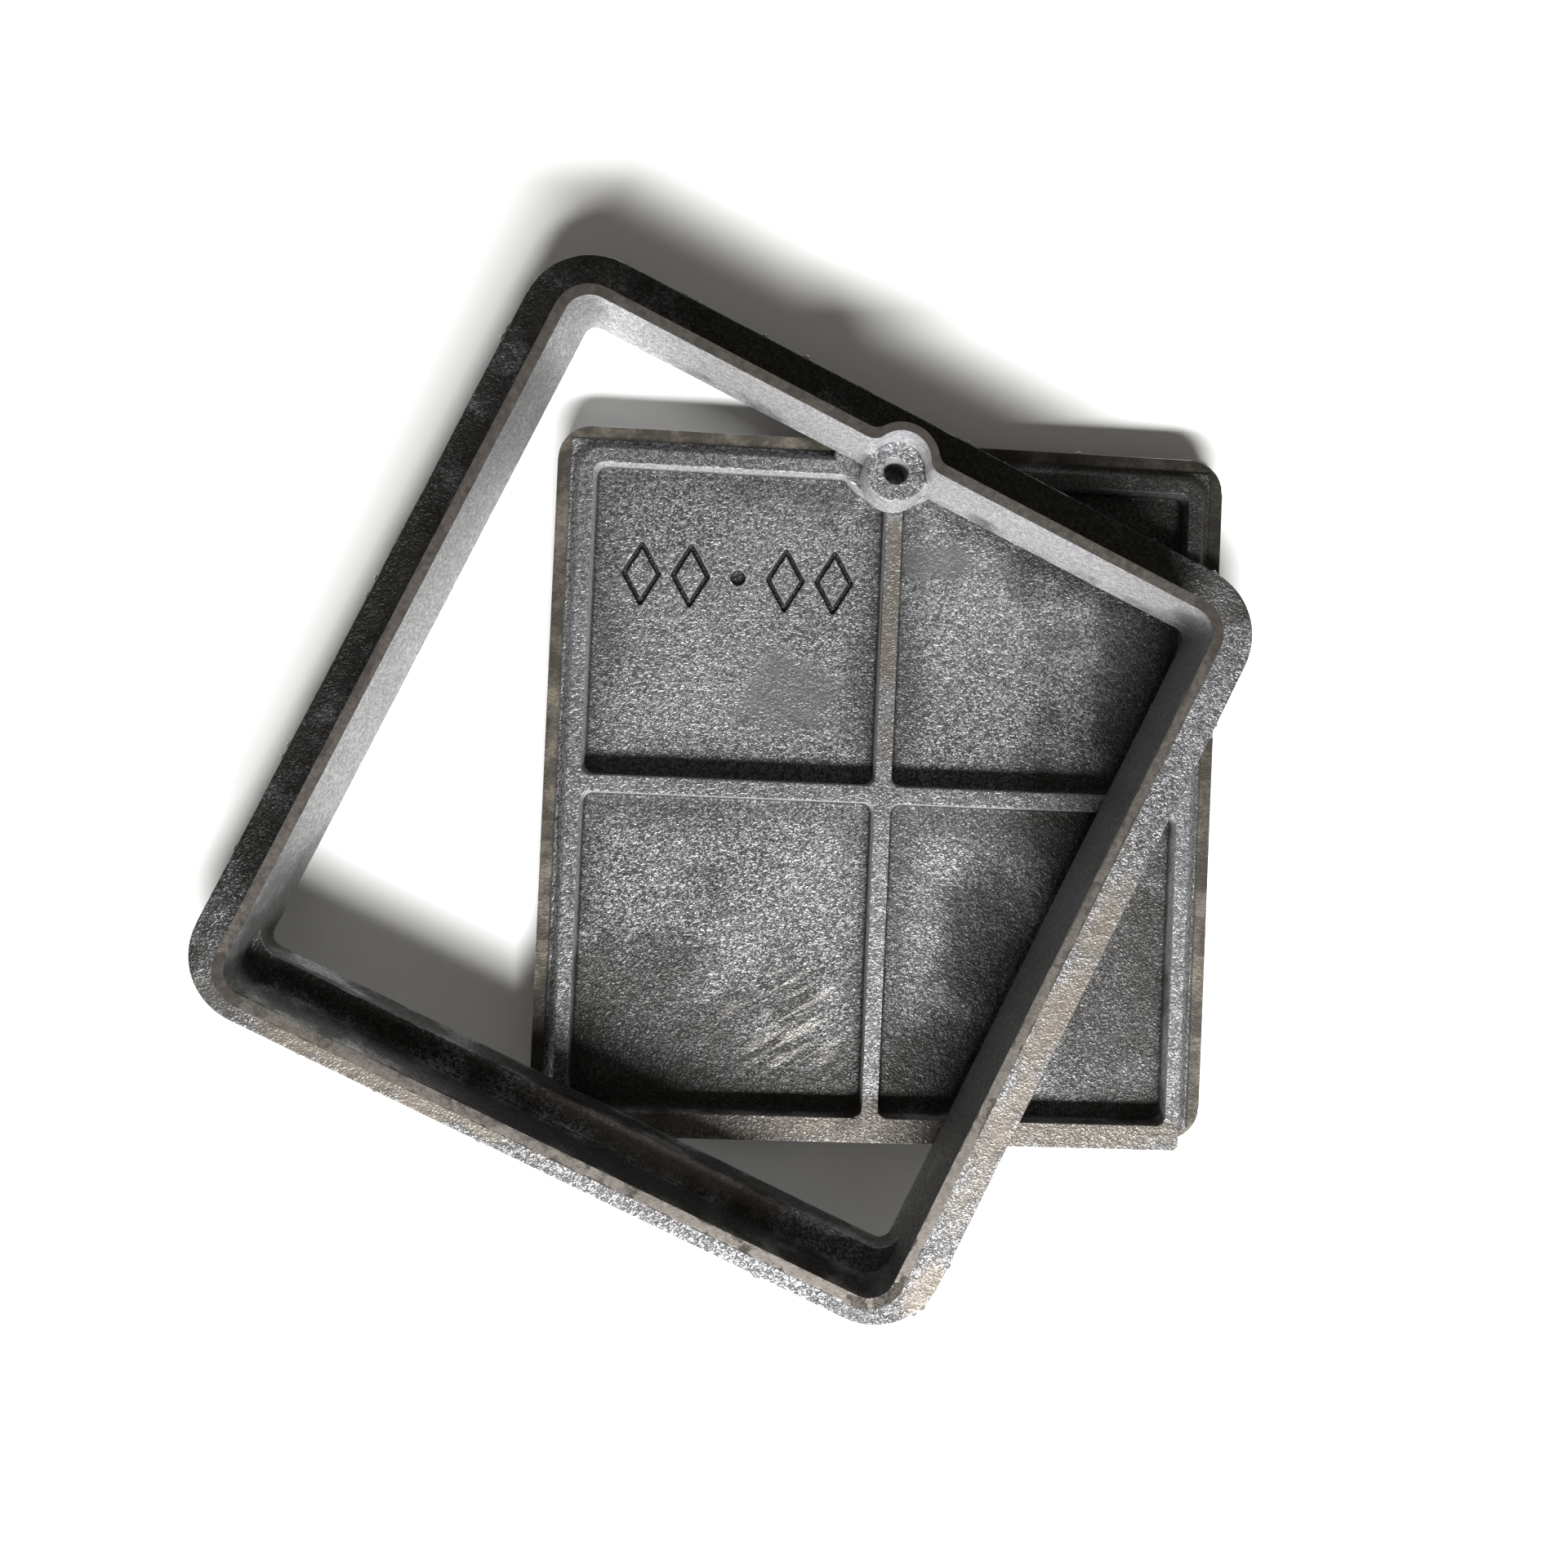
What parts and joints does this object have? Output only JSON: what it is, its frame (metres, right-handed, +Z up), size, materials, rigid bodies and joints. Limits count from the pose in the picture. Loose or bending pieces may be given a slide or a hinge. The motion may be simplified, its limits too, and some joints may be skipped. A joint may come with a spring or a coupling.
{
  "type": "access cover and frame",
  "caption": "Small cast-iron access cover lying ribs-up with its loose frame laid flat on it, turned about the lock axis.",
  "frame": {"origin": "middle of the cover's tread face, on the ground", "axes": "+Z up; +X along the cover's 24 cm side; +Y towards the cover's lock boss"},
  "size_m": [0.3662, 0.3707, 0.0543],
  "materials": {
    "cover_iron": "bare sand-cast grain, brown tint on rib edges",
    "frame_iron": "bare sand-cast grain, ground land on the rim"
  },
  "bodies": {
    "cover": {"cover": "cover_iron"},
    "frame": {"frame": "frame_iron"}
  },
  "joints": [
    {"name": "frame_lift", "type": "slide", "parent": "cover", "child": "frame", "axis": [0, 0, 1], "range_m": [0, 0.12]}
  ]
}
